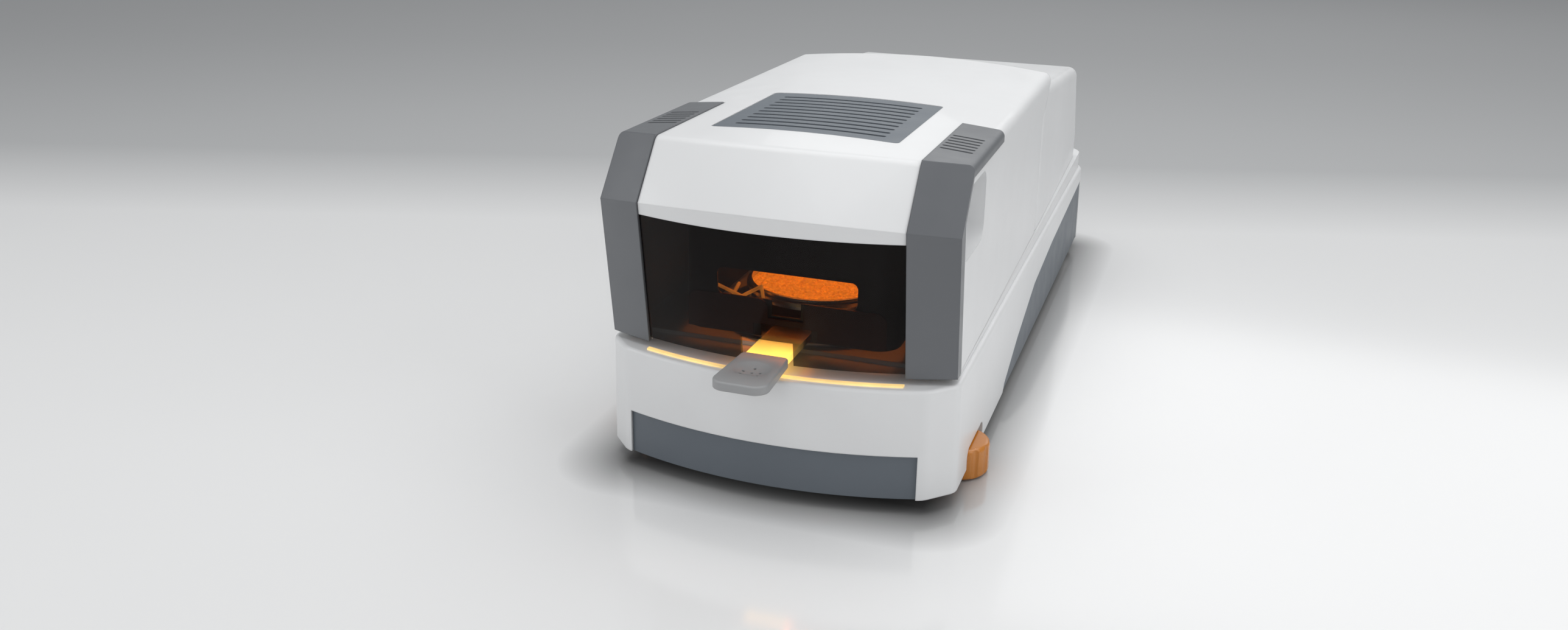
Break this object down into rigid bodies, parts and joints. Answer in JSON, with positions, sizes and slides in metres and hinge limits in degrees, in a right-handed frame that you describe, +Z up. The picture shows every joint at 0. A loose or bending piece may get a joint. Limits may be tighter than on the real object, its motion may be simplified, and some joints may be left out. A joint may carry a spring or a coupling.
{
  "type": "moisture analyzer",
  "caption": "Bench moisture analyzer: a drying balance whose hinged lid holds the heater over a sample pan, with levelling feet and rear sockets.",
  "frame": {"origin": "on the floor below the middle of the length, with the handle tab included", "axes": "+Y from the front to the rear, +Z up, +X to the right seen from the front"},
  "size_m": [0.234, 0.6274, 0.2045],
  "materials": {
    "white_shell": "satin white",
    "grey_grip": "fine matte grey",
    "slate_panel": "matte slate blue-grey",
    "smoked_glass": "near black, glossy",
    "grey_tab": "satin grey",
    "amber_plastic": "amber",
    "light_strip": "warm light",
    "steel": "brushed",
    "bright_steel": "polished",
    "aluminium": "plain",
    "reflector_gold": "mirror gold",
    "clear_glass": "clear",
    "black_plastic": "matte black",
    "rubber": "matte",
    "board": "circuit board",
    "sample": "granular",
    "brass": "plain",
    "bubble": "tinted"
  },
  "bodies": {
    "base": {"hinge_pins": "bright_steel", "hinge_brackets": "steel", "hinge_dampers": "black_plastic", "rear_housing": "white_shell", "base_shell": "white_shell", "front_skirt_panel": "slate_panel", "side_skirt_right": "slate_panel", "side_skirt_left": "slate_panel", "light_strip": "light_strip", "power_inlet": "black_plastic", "inlet_pins": "brass", "switch_frame": "black_plastic", "rocker_pin": "steel", "terminal_socket": "black_plastic", "data_socket": "black_plastic", "fan_frame": "black_plastic", "fan_guard": "steel", "foot_boss_left": "white_shell", "foot_boss_right": "white_shell", "rear_feet": "rubber", "base_plate": "steel", "chamber_tray": "steel", "weighing_post": "bright_steel", "pan_support": "bright_steel", "load_cell": "aluminium", "load_cell_mount": "aluminium", "main_board": "board", "board_components": "black_plastic", "board_spacers": "brass", "power_supply": "aluminium", "fan_duct": "black_plastic", "level_bubble": "bubble", "plate_screws": "steel"},
    "hood": {"hood_shell": "white_shell", "grip_right": "grey_grip", "grip_left": "grey_grip", "front_glass": "smoked_glass", "vent_grille": "slate_panel", "chamber_liner": "steel", "halogen_lamp_front": "clear_glass", "halogen_lamp_rear": "clear_glass", "lamp_holders": "black_plastic", "reflector": "reflector_gold", "lamp_guard_glass": "clear_glass", "temperature_sensor": "bright_steel", "liner_posts": "aluminium", "hinge_arms": "steel"},
    "foot_knob_left": {"foot_knob_left": "amber_plastic"},
    "foot_knob_right": {"foot_knob_right": "amber_plastic"},
    "foot_stem_left": {"foot_stem_left": "steel", "foot_pad_left": "rubber"},
    "foot_stem_right": {"foot_stem_right": "steel", "foot_pad_right": "rubber"},
    "fan_rotor": {"fan_rotor": "black_plastic"},
    "switch_rocker": {"switch_rocker": "black_plastic"},
    "carrier": {"carrier_band": "steel", "handle_tab": "grey_tab"},
    "pan": {"sample_pan": "aluminium", "sample": "sample"}
  },
  "joints": [
    {"name": "hood_lift", "type": "hinge", "parent": "base", "child": "hood", "pos_m": [0, 0.08125, 0.181], "axis": [-1, 0, 0], "range_deg": [0, 60]},
    {"name": "foot_knob_left_turn", "type": "hinge", "parent": "base", "child": "foot_knob_left", "pos_m": [-0.098, -0.19375, 0.027], "axis": [0, 0, 1], "range_deg": [-720, 720]},
    {"name": "foot_stem_left_travel", "type": "slide", "parent": "base", "child": "foot_stem_left", "axis": [0, 0, 1], "range_m": [-0.002, 0.002]},
    {"name": "foot_knob_right_turn", "type": "hinge", "parent": "base", "child": "foot_knob_right", "pos_m": [0.098, -0.19375, 0.027], "axis": [0, 0, 1], "range_deg": [-720, 720]},
    {"name": "foot_stem_right_travel", "type": "slide", "parent": "base", "child": "foot_stem_right", "axis": [0, 0, 1], "range_m": [-0.002, 0.002]},
    {"name": "fan_spin", "type": "hinge", "parent": "base", "child": "fan_rotor", "pos_m": [0.0585, 0.30575, 0.043], "axis": [0, 1, 0], "continuous": true},
    {"name": "switch_rock", "type": "hinge", "parent": "base", "child": "switch_rocker", "pos_m": [-0.028, 0.30675, 0.045], "axis": [1, 0, 0], "range_deg": [-8, 8]},
    {"name": "carrier_lift", "type": "slide", "parent": "base", "child": "carrier", "axis": [0, 0, 1], "range_m": [0, 0.006]},
    {"name": "pan_lift", "type": "slide", "parent": "carrier", "child": "pan", "axis": [0, 0, 1], "range_m": [0, 0.02]}
  ],
  "couplings": [
    {"joint": "foot_stem_left_travel", "follows": "foot_knob_left_turn", "m_per_rad": 0.00015915},
    {"joint": "foot_stem_right_travel", "follows": "foot_knob_right_turn", "m_per_rad": 0.00015915}
  ]
}
